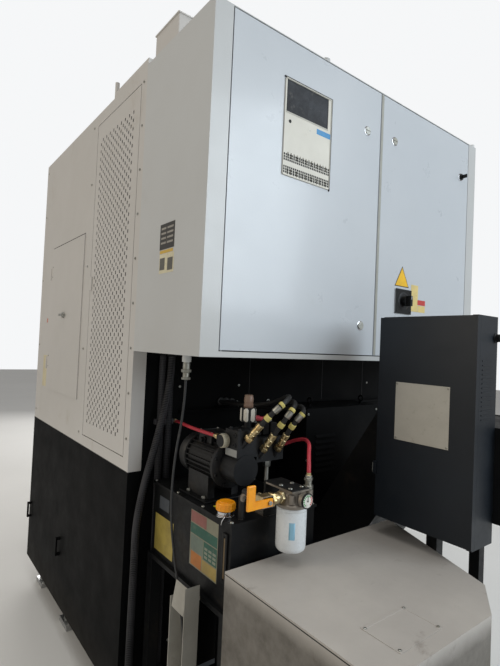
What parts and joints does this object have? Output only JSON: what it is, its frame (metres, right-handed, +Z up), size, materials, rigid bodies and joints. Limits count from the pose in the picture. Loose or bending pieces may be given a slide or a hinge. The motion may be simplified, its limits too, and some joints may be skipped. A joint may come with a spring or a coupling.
{
  "type": "cnc vertical lathe",
  "caption": "Vertical turning machine with an enclosed chamber, chuck on a vertical spindle, turret on a ram, rear electrical cabinet, hydraulic unit, coolant tank and chip conveyor",
  "frame": {"origin": "on the floor under the spindle axis, at the centre of the floor anchor pattern", "axes": "+Z is up along the spindle axis, -Y faces the operator, +Y is the rear with the electrical cabinet, +X is the side with the perforated guard door"},
  "size_m": [1.663, 2.99, 2.816],
  "materials": {
    "pale_paint": "pale blue-grey powder coat with orange-peel texture",
    "black_paint": "matt black powder coat",
    "charcoal_paint": "charcoal powder coat",
    "grey_paint": "light warm-grey paint, scuffed",
    "cast_paint": "painted casting",
    "bright_steel": "machined steel",
    "zinc_steel": "zinc-plated steel",
    "dark_metal": "black painted metal",
    "white_paint": "white enamel",
    "black_rubber": "black rubber",
    "black_plastic": "black moulded plastic",
    "cream_plastic": "cream plastic",
    "orange_plastic": "orange plastic",
    "red_plastic": "red plastic",
    "clear_glass": "laminated window",
    "chrome": "bright plated"
  },
  "bodies": {
    "frame": {"base_casting": "cast_paint", "leveling_pads": "bright_steel", "column_casting": "cast_paint", "x_drive": "dark_metal", "spindle_housing": "cast_paint", "drive_belt": "black_rubber", "spindle_motor": "dark_metal", "motor_cover": "black_paint", "side_panels": "pale_paint", "lower_panels": "black_paint", "front_panel": "pale_paint", "roof_panel": "pale_paint", "rear_wall": "black_paint", "pendant_arm": "pale_paint", "cabinet_shell": "pale_paint", "drive_modules": "dark_metal", "power_cable": "black_rubber", "hpu_reservoir": "black_paint", "hpu_motor": "dark_metal", "hpu_manifold": "zinc_steel", "hydraulic_hoses": "black_rubber", "cable_conduits": "black_plastic", "oil_filter": "white_paint", "filter_head": "zinc_steel", "conveyor_case": "black_paint", "conveyor_belt": "bright_steel", "conveyor_box": "charcoal_paint", "tank_body": "grey_paint", "tank_lid": "grey_paint", "cable_channel": "white_paint"},
    "table": {"spindle_shaft": "bright_steel", "chuck_body": "bright_steel"},
    "jaw_1": {"chuck_jaw_1": "bright_steel"},
    "jaw_2": {"chuck_jaw_2": "bright_steel"},
    "jaw_3": {"chuck_jaw_3": "bright_steel"},
    "motor_pulley": {"motor_pulley": "cast_paint"},
    "saddle": {"x_saddle": "cast_paint", "z_drive": "dark_metal"},
    "ram": {"z_ram": "cast_paint"},
    "turret": {"turret_disc": "bright_steel"},
    "front_door": {"front_door": "pale_paint", "door_window": "clear_glass"},
    "pendant": {"pendant_box": "pale_paint"},
    "emergency_stop": {"emergency_stop": "red_plastic"},
    "feed_knob": {"feed_knob": "black_plastic"},
    "guard_door": {"guard_door": "pale_paint"},
    "access_door": {"access_door": "pale_paint"},
    "access_latch": {"access_latch": "chrome"},
    "cabinet_door_1": {"cabinet_door_1": "pale_paint", "heat_exchanger": "cream_plastic"},
    "door_lock_1": {"door_lock_1": "chrome"},
    "door_lock_2": {"door_lock_2": "chrome"},
    "cabinet_door_2": {"cabinet_door_2": "pale_paint"},
    "door_lock_3": {"door_lock_3": "chrome"},
    "key_lock": {"key_lock": "black_plastic"},
    "main_switch": {"main_switch": "black_plastic"},
    "valve_lever": {"valve_lever": "orange_plastic"},
    "filler_cap": {"filler_cap": "orange_plastic"},
    "conveyor_shaft": {"conveyor_shaft": "bright_steel"},
    "conveyor_box_door": {"conveyor_box_door": "charcoal_paint"}
  },
  "joints": [
    {"name": "table_spin", "type": "hinge", "parent": "frame", "child": "table", "pos_m": [0, 0, 0.9], "axis": [0, 0, 1], "continuous": true},
    {"name": "jaw_1_slide", "type": "slide", "parent": "table", "child": "jaw_1", "axis": [0, 1, 0], "range_m": [-0.025, 0.03]},
    {"name": "jaw_2_slide", "type": "slide", "parent": "table", "child": "jaw_2", "axis": [-0.866, -0.5, 0], "range_m": [-0.025, 0.03]},
    {"name": "jaw_3_slide", "type": "slide", "parent": "table", "child": "jaw_3", "axis": [0.866, -0.5, 0], "range_m": [-0.025, 0.03]},
    {"name": "motor_pulley_spin", "type": "hinge", "parent": "frame", "child": "motor_pulley", "pos_m": [-0.187, 0.918, 0.73], "axis": [0, 0, 1], "continuous": true},
    {"name": "x_slide", "type": "slide", "parent": "frame", "child": "saddle", "axis": [1, 0, 0], "range_m": [-0.25, 0.25]},
    {"name": "z_slide", "type": "slide", "parent": "saddle", "child": "ram", "axis": [0, 0, 1], "range_m": [-0.28, 0]},
    {"name": "turret_index", "type": "hinge", "parent": "ram", "child": "turret", "pos_m": [0, 0, 1.6], "axis": [0, 1, 0], "continuous": true},
    {"name": "front_door_slide", "type": "slide", "parent": "frame", "child": "front_door", "axis": [-1, 0, 0], "range_m": [0, 0.49]},
    {"name": "pendant_swivel", "type": "hinge", "parent": "frame", "child": "pendant", "pos_m": [0.52, -0.93, 2.4], "axis": [0, 0, 1], "range_deg": [-90, 45]},
    {"name": "emergency_stop_press", "type": "slide", "parent": "pendant", "child": "emergency_stop", "axis": [0, 1, 0], "range_m": [0, 0.006]},
    {"name": "feed_knob_turn", "type": "hinge", "parent": "pendant", "child": "feed_knob", "pos_m": [0.39, -1.01, 1.36], "axis": [0, 1, 0], "range_deg": [-150, 150]},
    {"name": "guard_door_hinge", "type": "hinge", "parent": "frame", "child": "guard_door", "pos_m": [0.8, 0.759, 1.784], "axis": [0, 0, 1], "range_deg": [0, 105]},
    {"name": "access_door_hinge", "type": "hinge", "parent": "frame", "child": "access_door", "pos_m": [0.8135, -0.406, 1.6], "axis": [0, 0, -1], "range_deg": [0, 110]},
    {"name": "access_latch_turn", "type": "hinge", "parent": "access_door", "child": "access_latch", "pos_m": [0.813, -0.1125, 1.622], "axis": [1, 0, 0], "range_deg": [0, 90]},
    {"name": "cabinet_door_1_hinge", "type": "hinge", "parent": "frame", "child": "cabinet_door_1", "pos_m": [0.727, 1.292, 2.026], "axis": [0, 0, -1], "range_deg": [0, 11]},
    {"name": "door_lock_1_turn", "type": "hinge", "parent": "cabinet_door_1", "child": "door_lock_1", "pos_m": [0.066, 1.3, 2.387], "axis": [0, 1, 0], "range_deg": [-90, 0]},
    {"name": "door_lock_2_turn", "type": "hinge", "parent": "cabinet_door_1", "child": "door_lock_2", "pos_m": [0.066, 1.3, 1.599], "axis": [0, 1, 0], "range_deg": [-90, 0]},
    {"name": "cabinet_door_2_hinge", "type": "hinge", "parent": "frame", "child": "cabinet_door_2", "pos_m": [-0.727, 1.292, 2.026], "axis": [0, 0, 1], "range_deg": [0, 105]},
    {"name": "door_lock_3_turn", "type": "hinge", "parent": "cabinet_door_2", "child": "door_lock_3", "pos_m": [-0.117, 1.3, 2.4], "axis": [0, 1, 0], "range_deg": [0, 90]},
    {"name": "key_lock_turn", "type": "hinge", "parent": "cabinet_door_2", "child": "key_lock", "pos_m": [-0.665, 1.3, 2.387], "axis": [0, 1, 0], "range_deg": [0, 90]},
    {"name": "main_switch_turn", "type": "hinge", "parent": "cabinet_door_2", "child": "main_switch", "pos_m": [-0.213, 1.306, 1.722], "axis": [0, 1, 0], "range_deg": [0, 90]},
    {"name": "valve_lever_turn", "type": "hinge", "parent": "frame", "child": "valve_lever", "pos_m": [0.664, 1.48, 1.053], "axis": [0, 1, 0], "range_deg": [0, 90]},
    {"name": "filler_cap_turn", "type": "hinge", "parent": "frame", "child": "filler_cap", "pos_m": [0.688, 1.305, 0.99], "axis": [0, 0, 1], "range_deg": [0, 90]},
    {"name": "conveyor_shaft_spin", "type": "hinge", "parent": "frame", "child": "conveyor_shaft", "pos_m": [-0.17, 1.702, 1.12], "axis": [1, 0, 0], "continuous": true},
    {"name": "conveyor_box_door_hinge", "type": "hinge", "parent": "frame", "child": "conveyor_box_door", "pos_m": [0.127, 1.797, 1.267], "axis": [0, 0, 1], "range_deg": [0, 100]}
  ],
  "couplings": [
    {"joint": "jaw_2_slide", "follows": "jaw_1_slide", "ratio": 1},
    {"joint": "jaw_3_slide", "follows": "jaw_1_slide", "ratio": 1},
    {"joint": "motor_pulley_spin", "follows": "table_spin", "ratio": 1.8333}
  ]
}
